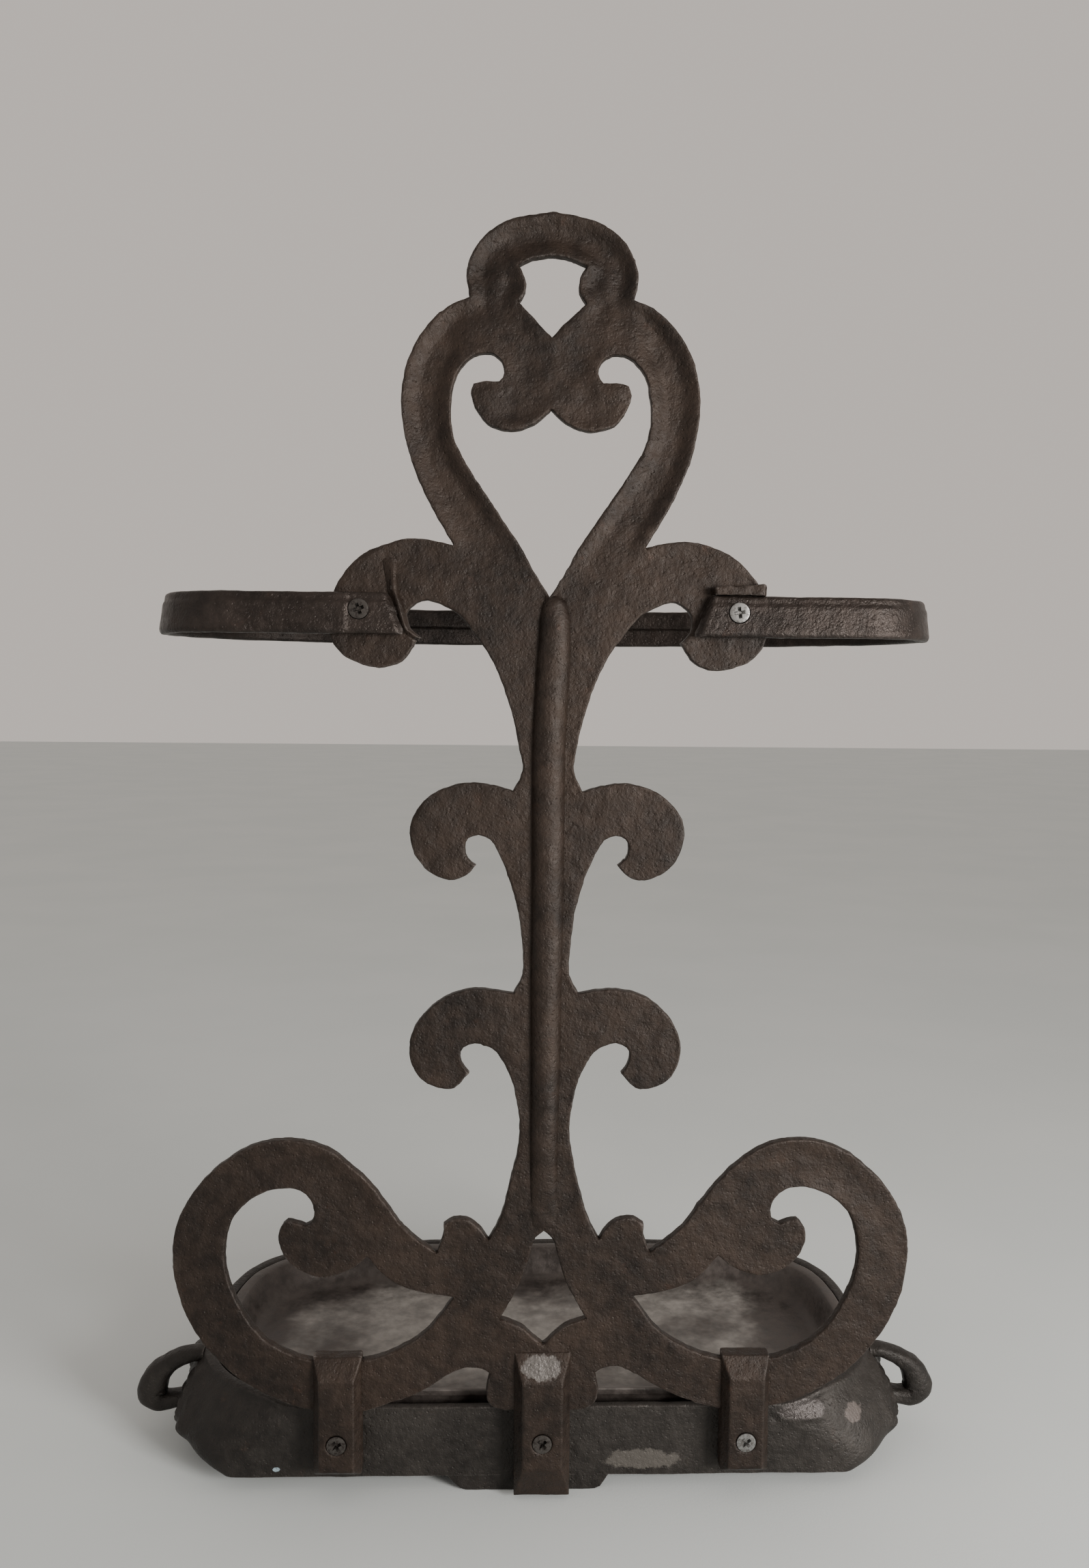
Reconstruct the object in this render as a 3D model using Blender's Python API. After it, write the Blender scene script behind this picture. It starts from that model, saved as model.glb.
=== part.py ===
"""Cast-iron scroll-back umbrella stand: back frame, umbrella ring, base, drip tray, screws and nuts.

The back of the stand faces -Y, the front +Y and +Z is up. The floor is z = 0. Sizes are in
millimetres, with the back face of the frame in the plane y = 0. They become metres as a mesh is
made, and the whole stand is then centred on y = 0.
"""
import math

import bmesh
import bpy
from mathutils import Vector
from mathutils.geometry import delaunay_2d_cdt

MM = 0.001
GAP = 0.3                       # clearance between touching pieces

# Driving sizes
PLATE = 8.0                     # thickness of the frame plate
WALL_BACK = PLATE + GAP         # back face of the base's rear wall
WALL_FRONT = WALL_BACK + 4.5    # its inner face
WALL_TOP = 44.0                 # top of the rear wall
RIM_TOP = 48.0                  # top of the rim round the sides and front
RIM_HALF_WIDTH = 183.0
BASE_MIDDLE = 82.0              # where the straight sides start to round towards the front
BASE_ROUND = 114.0              # from there to the front of the rim
SQUARENESS = 4.0                # exponent of the rounded front of the plan
BELLY = 6.0                     # how far the base swells out below the rim
RING_TOP = 446.5
RING_HEIGHT = 19.5
RING_SCREW = (89.5, 440.0)      # half spacing and height
RING_FACE = -6.6                # where the ring screws' heads lie flush
RING_LINE = -3.3                # the plane of the ring's bar where it crosses the frame
RING_OUTER = 4.6                # how far the bar's widest edge stands outside that line
LUG_SCREW_X = 101.0
LUG_SCREW_Z = 32.6
LUG_FACE = -6.0                 # back face of the lugs
HEAD_RADIUS = 4.8               # M5 countersunk screws
SHANK_RADIUS = 2.5
NUT_FLATS = 8.0
NUT_THICKNESS = 4.0

CENTRE = (BASE_MIDDLE + BASE_ROUND + BELLY + RING_LINE - RING_OUTER) / 2     # middle of the stand's depth

IRON = (0.043, 0.033, 0.027)
DARK_IRON = (0.030, 0.027, 0.026)
WORN_IRON = (0.10, 0.095, 0.09)
DARK_STEEL = (0.05, 0.045, 0.042)
ZINC = (0.30, 0.31, 0.33)


# ---------------------------------------------------------------- curves

def spline(points, step=3.0):
    """A smooth open curve through the points, sampled about every step, without its last point."""
    first = (2 * points[0][0] - points[1][0], 2 * points[0][1] - points[1][1])
    last = (2 * points[-1][0] - points[-2][0], 2 * points[-1][1] - points[-2][1])
    ring = [Vector(p) for p in [first] + list(points) + [last]]
    result = []
    for a, b, c, d in zip(ring, ring[1:], ring[2:], ring[3:]):
        count = max(1, round((c - b).length / step))
        out = (c - a) * ((c - b).length / ((b - a).length + (c - b).length))
        back = (d - b) * ((c - b).length / ((c - b).length + (d - c).length))
        for i in range(count):
            t = i / count
            h0 = 2 * t ** 3 - 3 * t ** 2 + 1
            h1 = t ** 3 - 2 * t ** 2 + t
            h2 = 3 * t ** 2 - 2 * t ** 3
            h3 = t ** 3 - t ** 2
            result.append(tuple(b * h0 + out * h1 + c * h2 + back * h3))
    return result


def half_outline(runs):
    """Smooth runs that meet at sharp corners; the last point of a run starts the next one."""
    result = []
    for run in runs:
        result += spline(run)
    return result + [tuple(runs[-1][-1])]


def mirrored(half):
    """The closed outline whose +X half is given, from one point on x = 0 to the other."""
    return half + [(-x, z) for x, z in reversed(half[1:-1])]


def side_pair(runs):
    """A closed outline on the +X side and its mirror image."""
    loop = half_outline(runs)[:-1]
    return [loop, [(-x, z) for x, z in reversed(loop)]]


# ---------------------------------------------------------------- the frame's outlines

HANDLE_OUTER = [(0, 624.5), (21.5, 620), (34, 610.5), (40, 597.5), (38.5, 585)]
HEART_OUTER = [(38.5, 585), (48.5, 580.5), (60, 569.5), (67.3, 555.5), (70.2, 540), (69.2, 524.5),
               (64.5, 506.5), (56.3, 488.8), (45.6, 470.6)]
ARM_TOP = [(45.6, 470.6), (54, 472.6), (67, 473.4), (82.5, 469), (92, 462.5), (100, 453), (104, 443),
           (105, 433), (102, 423.5), (95, 416.8), (81, 412.8), (70, 416), (62.8, 425.6)]
ARM_UNDER = [(62.8, 425.6), (67.5, 431), (67.5, 438.5), (63, 443.4), (58, 444.8), (51, 442.7), (43, 438),
             (35, 428.2), (28, 418.3), (22.4, 406.5), (17.5, 392), (14, 376), (12.3, 364), (16.7, 354.5)]
UPPER_SCROLL = [(16.7, 354.5), (25.8, 357), (35.6, 358.5), (47.1, 356.6), (57.5, 351), (64, 342.7),
                (66.1, 334), (63.7, 323.8), (57, 315.6), (47.2, 311.5), (39.2, 313.5), (34, 318.8)]
UPPER_INNER = [(34, 318.8), (38, 321.8), (39.5, 327), (37.8, 331.5), (33, 333.3), (27.3, 331), (22.5, 322.6),
               (17.5, 310), (13.5, 295), (11.5, 277.6), (11.4, 265), (15.7, 256.2)]
LOWER_SCROLL = [(15.7, 256.2), (24.3, 257.6), (34.2, 258.3), (45.3, 255.8), (55, 249.8), (63, 240.3),
                (66.1, 229.6), (64.5, 220.9), (59.5, 213.1), (51.8, 209.4), (44.2, 209.5), (36.8, 216.8)]
LOWER_INNER = [(36.8, 216.8), (40.6, 222), (41.3, 227.3), (37.3, 231), (31.3, 231.3), (23.8, 227.1),
               (17.6, 216.8), (14, 204.8), (12.3, 189.6), (13.2, 178), (17.1, 160.5), (21.7, 144.5),
               (27.2, 133.7)]
LEAF_BUMP = [(27.2, 133.7), (31.6, 140), (38, 144), (44.5, 144), (49, 141)]
LEAF_SIDE = [(49, 141), (49.3, 136), (52.5, 127)]
C_OUTER = [(52.5, 127), (62.8, 134.5), (70.4, 141.9), (78.2, 152.8), (86.7, 163.6), (95, 171.5),
           (106, 179.3), (120.7, 183.5), (135.2, 182.8), (150.5, 176.5), (164, 165.5), (174.4, 152),
           (180, 137), (180.9, 122), (177.8, 104.3), (170.5, 87.7), (159.5, 73.2), (146.8, 62.2),
           (133.4, 54), (120, 49), (105, 46.4), (90, 46.4), (78, 49.6), (63.6, 54.8), (52.8, 60.8),
           (44, 66.2), (37, 68.7), (30, 68), (26, 65.5)]
PLAQUE_EDGE = [(26, 65.5), (27.8, 57), (26, 49.6), (18.4, 46.5)]
PLAQUE_FOOT = [(18.4, 46.5), (0, 46.5)]
FRAME_HALF = [HANDLE_OUTER, HEART_OUTER, ARM_TOP, ARM_UNDER, UPPER_SCROLL, UPPER_INNER, LOWER_SCROLL,
              LOWER_INNER, LEAF_BUMP, LEAF_SIDE, C_OUTER, PLAQUE_EDGE, PLAQUE_FOOT]

HANDLE_HOLE = [[(0, 604.3), (9, 602.8), (15.8, 599.8)],
               [(15.8, 599.8), (12.9, 594.5), (12.6, 588), (15.7, 582.7)],
               [(15.7, 582.7), (9.5, 577), (0, 567.2)]]
HEART_HOLE = [[(0, 534), (8, 527.3), (19, 524), (30, 527.2), (36, 535), (37.8, 541), (36.5, 545.5)],
              [(36.5, 545.5), (30.5, 547), (24.5, 546.8), (22.2, 551), (23.5, 556), (28.5, 559.5),
               (36.5, 558.5), (44, 550.5), (47, 537), (45.8, 521), (40.5, 510), (33.5, 499),
               (24.5, 486), (14, 470.5), (6.5, 457), (0, 447)]]
C_HOLE = [[(44.2, 104.4), (59.9, 107.2), (71.2, 110.8), (79.5, 117), (86.5, 125.4)],
          [(86.5, 125.4), (92, 120.5), (100.6, 116.3), (109, 115), (118.9, 118.2), (126, 124.3),
           (129.5, 132.3), (129, 139), (125.5, 143.3), (120.8, 142.6)],
          [(120.8, 142.6), (116.8, 141), (113.2, 143), (112, 148), (114, 154), (119, 158.2),
           (126.5, 159.6), (135, 158.2), (145, 152.5), (152.3, 143.8), (155.9, 130.3), (155, 116.5),
           (150.1, 102.7), (141.8, 88.9), (131.3, 79.7), (118.4, 73.7), (101.5, 71.6), (84.5, 73.1),
           (69.2, 79.2), (56.3, 88.4), (44.2, 104.4)]]
FOOT_HOLE = [[(0, 137.8), (4, 134.5), (6.8, 126), (11, 113), (17, 101), (21.6, 93.2)],
             [(21.6, 93.2), (11, 89.5), (0, 80)]]

# height, half width of the rib down the stem, how far it stands out of the back
RIB = [(443, 2.5, 1.0), (436, 6.0, 4.0), (420, 7.4, 5.2), (330, 7.8, 5.4), (240, 7.4, 5.2), (170, 6.2, 4.6),
       (150, 5.0, 3.6), (141, 3.0, 1.0)]

# ---------------------------------------------------------------- meshes

def new_object(name, bm, colour, roughness, metallic, origin=(0, 0, 0)):
    """An object made from a mesh in millimetres, with its own material."""
    bmesh.ops.recalc_face_normals(bm, faces=bm.faces)
    shift = Vector((0, CENTRE, 0))
    place = Vector(origin) - shift
    for vert in bm.verts:
        vert.co = (vert.co - shift - place) * MM
    mesh = bpy.data.meshes.new(name)
    bm.to_mesh(mesh)
    bm.free()
    obj = bpy.data.objects.new(name, mesh)
    obj.location = place * MM
    bpy.context.collection.objects.link(obj)
    material = bpy.data.materials.new(name)
    material.use_nodes = True
    shader = material.node_tree.nodes["Principled BSDF"]
    shader.inputs["Base Color"].default_value = (*colour, 1)
    shader.inputs["Roughness"].default_value = roughness
    shader.inputs["Metallic"].default_value = metallic
    material.diffuse_color = (*colour, 1)
    mesh.materials.append(material)
    return obj


def combine(obj, tool, operation):
    """Applies one exact boolean and removes the tool."""
    tool.hide_render = True
    tool.display_type = "WIRE"
    modifier = obj.modifiers.new("cut", "BOOLEAN")
    modifier.operation = operation
    modifier.solver = "EXACT"
    modifier.object = tool
    bpy.context.view_layer.update()
    evaluated = obj.evaluated_get(bpy.context.evaluated_depsgraph_get())
    mesh = bpy.data.meshes.new_from_object(evaluated)
    obj.modifiers.clear()
    mesh.materials.clear()
    mesh.materials.append(obj.data.materials[0])
    mesh.polygons.foreach_set("material_index", [0] * len(mesh.polygons))
    obj.data = mesh
    bpy.data.objects.remove(tool)


def tool_object(bm):
    """A throwaway solid for a boolean."""
    return new_object("tool", bm, IRON, 0.5, 0.0)


def inside(point, loop):
    """Whether a point is inside a closed outline."""
    x, z = point
    result = False
    for (x0, z0), (x1, z1) in zip(loop, loop[1:] + loop[:1]):
        if (z0 > z) != (z1 > z) and x < (x1 - x0) * (z - z0) / (z1 - z0) + x0:
            result = not result
    return result


def plate(outer, holes, y_back, y_front):
    """A flat plate with holes, outlined in the XZ plane."""
    points = []
    edges = []
    for loop in [outer] + holes:
        start = len(points)
        points += [Vector(p) for p in loop]
        edges += [(start + i, start + (i + 1) % len(loop)) for i in range(len(loop))]
    flat, _, triangles, _, _, _ = delaunay_2d_cdt(points, edges, [], 0, 1e-5)
    bm = bmesh.new()
    back = [bm.verts.new((p.x, y_back, p.y)) for p in flat]
    front = [bm.verts.new((p.x, y_front, p.y)) for p in flat]
    for tri in triangles:
        middle = sum((flat[i] for i in tri), Vector((0, 0))) / 3
        if inside(middle, outer) and not any(inside(middle, hole) for hole in holes):
            bm.faces.new([back[i] for i in tri])
            bm.faces.new([front[i] for i in reversed(tri)])
    rims = [edge for edge in bm.edges if len(edge.link_faces) == 1 and edge.verts[0].co.y == y_back]
    partner = dict(zip(back, front))
    for edge in rims:
        a, b = edge.verts
        bm.faces.new((a, b, partner[b], partner[a]))
    loose = [vert for vert in bm.verts if not vert.link_faces]
    bmesh.ops.delete(bm, geom=loose, context="VERTS")
    return bm


def loft(layers):
    """A solid through layers of points, all layers with the same number of points."""
    bm = bmesh.new()
    rows = [[bm.verts.new(p) for p in layer] for layer in layers]
    for low, high in zip(rows, rows[1:]):
        for i in range(len(low)):
            j = (i + 1) % len(low)
            bm.faces.new((low[i], low[j], high[j], high[i]))
    bm.faces.new(rows[0])
    bm.faces.new(rows[-1])
    return bm


def hull(points):
    """The convex solid around the points."""
    bm = bmesh.new()
    for point in points:
        bm.verts.new(point)
    bmesh.ops.convex_hull(bm, input=bm.verts)
    return bm


def turned(profile, x, z, sides=24):
    """A solid turned about an axis along Y; the profile is (y, radius) with its ends on the axis."""
    bm = bmesh.new()
    rings = []
    for y, radius in profile:
        if radius == 0:
            rings.append([bm.verts.new((x, y, z))])
        else:
            angles = [2 * math.pi * i / sides for i in range(sides)]
            rings.append([bm.verts.new((x + radius * math.cos(a), y, z + radius * math.sin(a)))
                          for a in angles])
    for low, high in zip(rings, rings[1:]):
        for i in range(sides):
            j = (i + 1) % sides
            corners = [low[i % len(low)], low[j % len(low)], high[j % len(high)], high[i % len(high)]]
            unique = list(dict.fromkeys(corners))
            bm.faces.new(unique)
    return bm


# ---------------------------------------------------------------- screws and nuts

def screw(name, x, z, face, tip, colour, turn):
    """A countersunk cross-recess machine screw with its head flush in a face."""
    seat = face + HEAD_RADIUS - SHANK_RADIUS + 0.4
    obj = new_object(name, turned([(face, 0), (face, HEAD_RADIUS), (face + 0.4, HEAD_RADIUS),
                                   (seat, SHANK_RADIUS), (tip - 0.6, SHANK_RADIUS),
                                   (tip, SHANK_RADIUS - 0.6), (tip, 0)], x, z), colour, 0.45, 0.9)
    for angle in (turn, turn + math.pi / 2):
        along = Vector((math.cos(angle), 0, math.sin(angle)))
        across = Vector((-math.sin(angle), 0, math.cos(angle)))
        corners = []
        for depth, length, width in ((-1.0, 3.2, 0.75), (2.0, 1.1, 0.4)):
            for s in (-1, 1):
                for t in (-1, 1):
                    corners.append(Vector((x, face + depth, z)) + along * s * length + across * t * width)
        combine(obj, tool_object(hull(corners)), "DIFFERENCE")
    return obj


def screw_hole(obj, x, z, face, through):
    """Clearance for a countersunk screw, from its face to beyond the piece."""
    radius = SHANK_RADIUS + GAP
    rim = HEAD_RADIUS + GAP
    profile = [(face - 1, 0), (face - 1, rim), (face + 0.4, rim), (face + 0.4 + rim - radius, radius),
               (through, radius), (through, 0)]
    combine(obj, tool_object(turned(profile, x, z)), "DIFFERENCE")


def tube(layers):
    """A closed ring-shaped solid: the last layer joins the first."""
    bm = bmesh.new()
    rows = [[bm.verts.new(p) for p in layer] for layer in layers]
    for low, high in zip(rows, rows[1:] + rows[:1]):
        for i in range(len(low)):
            j = (i + 1) % len(low)
            bm.faces.new((low[i], low[j], high[j], high[i]))
    return bm


def nut(name, x, z, back, colour):
    """A hexagon nut with two flats upright."""
    corner = NUT_FLATS / 2 / math.cos(math.pi / 6)
    hole = SHANK_RADIUS + GAP
    layers = []
    front = back + NUT_THICKNESS
    for y, outer in ((back, True), (front, True), (front, False), (back, False)):
        layer = []
        for i in range(24):
            angle = 2 * math.pi * i / 24
            bend = (angle + math.pi / 6) % (math.pi / 3) - math.pi / 6
            radius = corner * math.cos(math.pi / 6) / math.cos(bend) if outer else hole
            layer.append((x + radius * math.cos(angle), y, z + radius * math.sin(angle)))
        layers.append(layer)
    return new_object(name, tube(layers), colour, 0.5, 0.85)


# ---------------------------------------------------------------- the frame

def lug(x, half, face_half, top, face_top, face_bottom, bottom):
    """A cast lug: full width against the base, with chamfered sides and sloping ends."""
    corners = []
    for y, w, low, high in ((PLATE - 0.1, half, bottom, top), (-0.5, half, bottom, top),
                            (LUG_FACE, face_half, face_bottom, face_top)):
        for side in (-1, 1):
            corners += [(x + side * w, y, low), (x + side * w, y, high)]
    return hull(corners)


def rib():
    """The rounded rib down the back of the stem."""
    layers = []
    for z, half, proud in RIB:
        arc = [math.pi * i / 8 for i in range(9)]
        layer = [(half * math.cos(a), -proud * math.sin(a) - 0.01, z) for a in arc]
        layers.append([(half, 2, z)] + layer + [(-half, 2, z)])
    return loft(layers)


def back_frame():
    """The whole scroll back as one casting."""
    holes = [mirrored(half_outline(HANDLE_HOLE)), mirrored(half_outline(HEART_HOLE))]
    holes += side_pair(C_HOLE)
    holes.append(mirrored(half_outline(FOOT_HOLE)))
    outline = mirrored(half_outline(FRAME_HALF))
    obj = new_object("back_frame", plate(outline, holes, 0, PLATE), IRON, 0.55, 0.3)
    combine(obj, tool_object(rib()), "UNION")
    for side in (-1, 1):
        x = side * LUG_SCREW_X
        combine(obj, tool_object(lug(x, 11.8, 8.5, 74.5, 65, 19, 15)), "UNION")
    combine(obj, tool_object(lug(0, 13.8, 9.7, 76.5, 63, 19, 3)), "UNION")
    seat_block = [(x, y, z) for x in (77, 101.5) for y in (-6, 3) for z in (RING_TOP + GAP + 0.3, 453.5)]
    combine(obj, tool_object(hull(seat_block)), "UNION")
    ridge = [[(x - 1.6, 2, z), (x - 1.6, y, z), (x + 1.6, y, z), (x + 1.6, 2, z)]
             for x, y, z in ((-75, -1.5, 458), (-71, -4, 449), (-67.5, -4.5, 440), (-66, -3.5, 432))]
    combine(obj, tool_object(loft(ridge)), "UNION")
    for side in (-1, 1):
        screw_hole(obj, side * RING_SCREW[0], RING_SCREW[1], -20, PLATE + 5)
        screw_hole(obj, side * LUG_SCREW_X, LUG_SCREW_Z, LUG_FACE, PLATE + 5)
    screw_hole(obj, 0, LUG_SCREW_Z, LUG_FACE, PLATE + 5)
    return obj


# ---------------------------------------------------------------- the ring

# the bar's section: outward from the ring's line, and up from its top
RING_SECTION = [(-3, -1), (-2, 0), (1.0, 0), (1.8, -1), (2.2, -3.7), (3.0, -4.6), (RING_OUTER, -17.5),
                (3.8, -19.5), (0.5, -19.5), (-0.5, -18.5), (-0.5, -10.5), (-3, -9.5)]


def ring_path():
    """Plan points and outward directions round the ring, from the left end to the right."""
    straight = 150.0
    near = RING_LINE
    bend = 36.3
    far = 128.0
    half = [((x, near), (0, -1)) for x in (75, 95, 115, 135)]
    for i in range(9):
        a = math.pi / 2 * i / 8
        half.append(((straight + bend * math.sin(a), near + bend - bend * math.cos(a)),
                     (math.sin(a), -math.cos(a))))
    wide = straight + bend
    deep = far - near - bend
    for i in range(1, 19):
        a = math.pi / 2 * i / 18
        normal = Vector((math.cos(a) / wide, math.sin(a) / deep)).normalized()
        half.append(((wide * math.cos(a), near + bend + deep * math.sin(a)), tuple(normal)))
    left = [((-p[0], p[1]), (-n[0], n[1])) for p, n in half]
    return left + list(reversed(half[:-1]))


def umbrella_ring():
    """A moulded hoop whose slanting ends lap over the back of the two arm discs."""
    path = ring_path()
    layers = []
    for place, normal in path:
        layers.append([(place[0] + u * normal[0], place[1] + u * normal[1], RING_TOP + v)
                       for u, v in RING_SECTION])
    for index, side in ((0, -1), (-1, 1)):
        layers[index] = [(side * (79.5 + 0.46 * v), y, RING_TOP + v)
                         for (_, y, _), (_, v) in zip(layers[index], RING_SECTION)]
    obj = new_object("umbrella_ring", loft(layers), IRON, 0.55, 0.3)
    for side in (-1, 1):
        screw_hole(obj, side * RING_SCREW[0], RING_SCREW[1], RING_FACE, 3)
    return obj


# ---------------------------------------------------------------- the base and the tray

# height, how far the base's side stands out from the rim, and the radius of its rear corners
BASE_SIDE = [(8, -20, 10), (11, -11, 20), (15, -3, 30), (20, 3, 40), (26, BELLY, 49), (33, 5.5, 57),
             (40, 3.5, 65), (43.2, 2, 69), (RIM_TOP, 0, 71)]
# centre line of an end handle as x and z, and its half thickness
BAIL = [(180.5, 44.5, 4.0), (190, 43, 4.3), (199, 39.5, 4.5), (205.5, 34, 5.5), (209, 27, 7.0),
        (208.5, 21, 7.5), (203, 18.5, 6.0), (195, 19.5, 5.2), (189, 21, 4.2), (184.6, 22.2, 3.0)]
BAIL_Y = 62.0
BAIL_HALF_WIDTH = 10.0


def plan(inset, back, corner, z):
    """The base's plan at a height: a flat back, rounded rear corners, straight sides and a bowed front."""
    wide = RIM_HALF_WIDTH + inset
    deep = BASE_ROUND + inset
    power = 2 / SQUARENESS
    half = []
    for i in range(7):
        a = math.pi / 2 * i / 6
        half.append((wide - corner * (1 - math.sin(a)), back + corner * (1 - math.cos(a))))
    for i in range(21):
        a = math.pi / 2 * i / 20
        across = wide * math.cos(a) ** power if i < 20 else 0.0
        half.append((across, BASE_MIDDLE + deep * math.sin(a) ** power))
    points = half + [(-x, y) for x, y in reversed(half[:-1])]
    return [(x, y, z) for x, y in points]


def bail(side):
    """A cast handle on one end of the base, bowed out and down from the rim."""
    points = [Vector((x, z)) for x, z, _ in BAIL]
    layers = []
    for i, centre in enumerate(points):
        ahead = points[min(i + 1, len(points) - 1)] - points[max(i - 1, 0)]
        across = Vector((-ahead.y, ahead.x)).normalized()
        layer = []
        for k in range(12):
            a = 2 * math.pi * k / 12
            spot = centre + across * BAIL[i][2] * math.cos(a)
            layer.append((side * spot.x, BAIL_Y + BAIL_HALF_WIDTH * math.sin(a), spot.y))
        layers.append(layer)
    return loft(layers)


def base_casting():
    """The base: a hollow casting with bowed sides, a flat back, a floor, three feet and two handles."""
    outer = [plan(inset, WALL_BACK, corner, z) for z, inset, corner in BASE_SIDE]
    ledge = RIM_TOP - 3.6
    inner = [plan(-5.4, WALL_FRONT - 0.6, 66, RIM_TOP), plan(-5.4, WALL_FRONT - 0.6, 66, ledge),
             plan(-9.6, WALL_FRONT, 62, ledge)]
    inner += [plan(inset - 6, WALL_FRONT, corner - 5, z) for z, inset, corner in reversed(BASE_SIDE[2:7])]
    inner.append(plan(-16, WALL_FRONT, 16, 13))
    obj = new_object("base_casting", loft(outer + inner), DARK_IRON, 0.5, 0.3)
    lowered = [(x, y, z) for y in (WALL_BACK + 0.05, WALL_FRONT + 0.4)
               for x, z in ((-48, 9.5), (-42, 0), (28, 0), (36, 9.5))]
    combine(obj, tool_object(hull(lowered)), "UNION")
    for side in (-1, 1):
        pad = [(side * 105 + w * math.cos(a), 150 + w * math.sin(a), z)
               for z, w in ((0, 11), (10, 14)) for a in [math.pi * k / 8 for k in range(16)]]
        combine(obj, tool_object(hull(pad)), "UNION")
        combine(obj, tool_object(bail(side)), "UNION")
    cut_top = [(x, y, z) for x in (-300, 300) for y in (WALL_BACK - 9, WALL_FRONT + 0.6)
               for z in (WALL_TOP, 60)]
    combine(obj, tool_object(hull(cut_top)), "DIFFERENCE")
    for x in (-LUG_SCREW_X, 0, LUG_SCREW_X):
        radius = SHANK_RADIUS + GAP
        profile = [(WALL_BACK - 3, 0), (WALL_BACK - 3, radius), (WALL_FRONT + 3, radius), (WALL_FRONT + 3, 0)]
        combine(obj, tool_object(turned(profile, x, LUG_SCREW_Z)), "DIFFERENCE")
    return obj


def drip_tray():
    """The lift-out pan: a flange that sits on the base's ledge, sloping walls and a flat floor."""
    back = 17.5
    flange = RIM_TOP - 3.3
    top = RIM_TOP - 0.3
    layers = [plan(-20, back + 6, 47, 28.5), plan(-17, back + 4.5, 50, 31.5),
              plan(-11.8, back + 1, 57, flange - 1.5), plan(-11, back + 0.5, 58, flange),
              plan(-5.9, back, 61, flange), plan(-5.9, back, 61, top),
              plan(-11.5, back + 2.5, 57, top), plan(-13.2, back + 3.2, 55, flange),
              plan(-18.5, back + 6.2, 50, 33), plan(-21, back + 8.5, 47, 31)]
    return new_object("drip_tray", loft(layers), WORN_IRON, 0.45, 0.5, origin=(0, 100, 31))


def build():
    """Makes every piece."""
    for obj in list(bpy.data.objects):
        bpy.data.objects.remove(obj)
    back_frame()
    umbrella_ring()
    base_casting()
    drip_tray()
    x, z = RING_SCREW
    screw("ring_screw_left", -x, z, RING_FACE, 14.5, DARK_STEEL, 0.2)
    screw("ring_screw_right", x, z, RING_FACE, 14.5, ZINC, 0.1)
    nut("ring_nut_left", -x, z, PLATE + GAP, DARK_STEEL)
    nut("ring_nut_right", x, z, PLATE + GAP, DARK_STEEL)
    places = (("left", -LUG_SCREW_X, DARK_STEEL), ("centre", 0, DARK_STEEL), ("right", LUG_SCREW_X, ZINC))
    for place, across, colour in places:
        screw("base_screw_" + place, across, LUG_SCREW_Z, LUG_FACE, 19, colour, 0.15)
        nut("base_nut_" + place, across, LUG_SCREW_Z, WALL_FRONT + GAP, DARK_STEEL)
    for obj in bpy.data.objects:
        obj.data.shade_smooth()
        obj.data.set_sharp_from_angle(angle=math.radians(32))


build()
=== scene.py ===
"""Looks of the cast-iron umbrella stand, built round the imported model.

Local sizes are millimetres: x to the right seen from the back, y forward from the back face of the
frame, z up from the floor. They become metres in the row frame as each mesh is made.
"""
import math

import bmesh
import bpy
import numpy as np
from mathutils import Matrix, Vector, noise
from mathutils.geometry import delaunay_2d_cdt
from mathutils.kdtree import KDTree


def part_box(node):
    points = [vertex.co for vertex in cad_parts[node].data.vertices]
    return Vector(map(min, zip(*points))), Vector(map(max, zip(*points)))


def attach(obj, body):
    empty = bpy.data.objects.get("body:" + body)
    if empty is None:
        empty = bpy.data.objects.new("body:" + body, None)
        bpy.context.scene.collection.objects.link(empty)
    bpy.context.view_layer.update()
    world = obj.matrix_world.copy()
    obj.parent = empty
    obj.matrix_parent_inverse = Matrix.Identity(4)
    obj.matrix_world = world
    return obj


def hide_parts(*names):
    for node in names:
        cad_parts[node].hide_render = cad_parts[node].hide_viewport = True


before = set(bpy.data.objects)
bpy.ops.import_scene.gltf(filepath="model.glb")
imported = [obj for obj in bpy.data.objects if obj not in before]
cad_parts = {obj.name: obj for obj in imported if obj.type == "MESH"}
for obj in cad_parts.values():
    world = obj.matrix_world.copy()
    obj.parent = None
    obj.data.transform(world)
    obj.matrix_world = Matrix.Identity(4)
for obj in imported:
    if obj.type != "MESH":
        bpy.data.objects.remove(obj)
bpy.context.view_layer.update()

MM = 0.001
PLATE = 8.0                                          # thickness of the frame plate
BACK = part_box("base_casting")[0].y / MM - PLATE - 0.3    # row-frame y of the frame's back face


def place(x, y, z):
    """A local point in the row frame, in metres."""
    return (x * MM, (y + BACK) * MM, z * MM)


def smoothstep(low, high, value):
    """0 below low, 1 above high, smooth between; works on arrays."""
    t = np.clip((value - low) / (high - low), 0.0, 1.0)
    return t * t * (3 - 2 * t)


# ---------------------------------------------------------------- outline of the frame

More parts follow.
